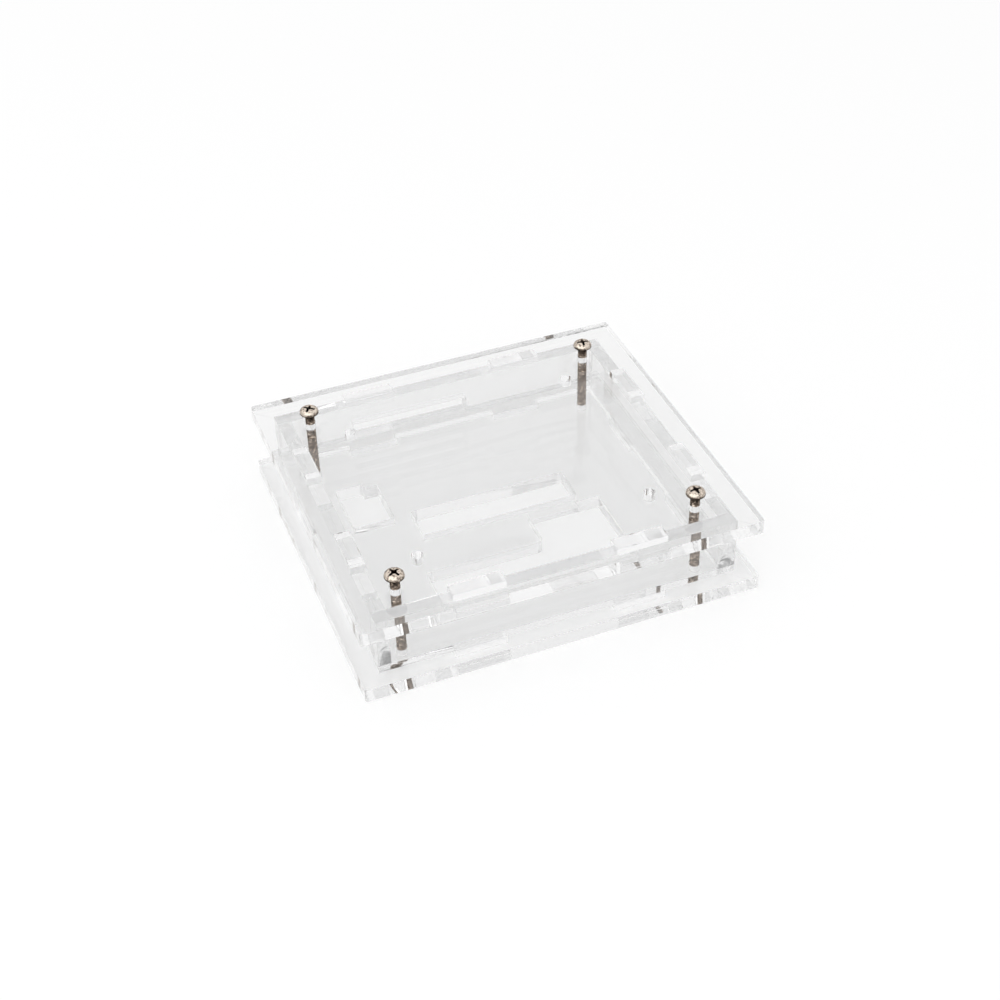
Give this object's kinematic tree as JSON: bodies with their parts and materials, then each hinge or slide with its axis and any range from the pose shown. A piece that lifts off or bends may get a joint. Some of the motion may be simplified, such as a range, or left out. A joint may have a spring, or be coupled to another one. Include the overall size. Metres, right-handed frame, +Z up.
{
  "type": "acrylic module case",
  "caption": "Flat clear acrylic case for a small circuit module: two plates, tabbed walls between them and long pan head corner screws, with cut-outs in the floor.",
  "frame": {"origin": "middle of the underside of the bottom plate, on the surface the case stands on", "axes": "+X to the right along the front, +Y to the back, +Z up"},
  "size_m": [0.083, 0.0754, 0.0211],
  "materials": {
    "clear_acrylic": "clear, polished faces, laser-cut edges",
    "nickel_screw": "bright nickel plate, slightly warm"
  },
  "bodies": {
    "root": {"bottom_plate": "clear_acrylic", "top_plate": "clear_acrylic", "front_wall": "clear_acrylic", "back_wall": "clear_acrylic", "left_wall": "clear_acrylic", "right_wall": "clear_acrylic", "screw_front_left": "nickel_screw", "screw_front_right": "nickel_screw", "screw_back_left": "nickel_screw", "screw_back_right": "nickel_screw"}
  },
  "joints": []
}
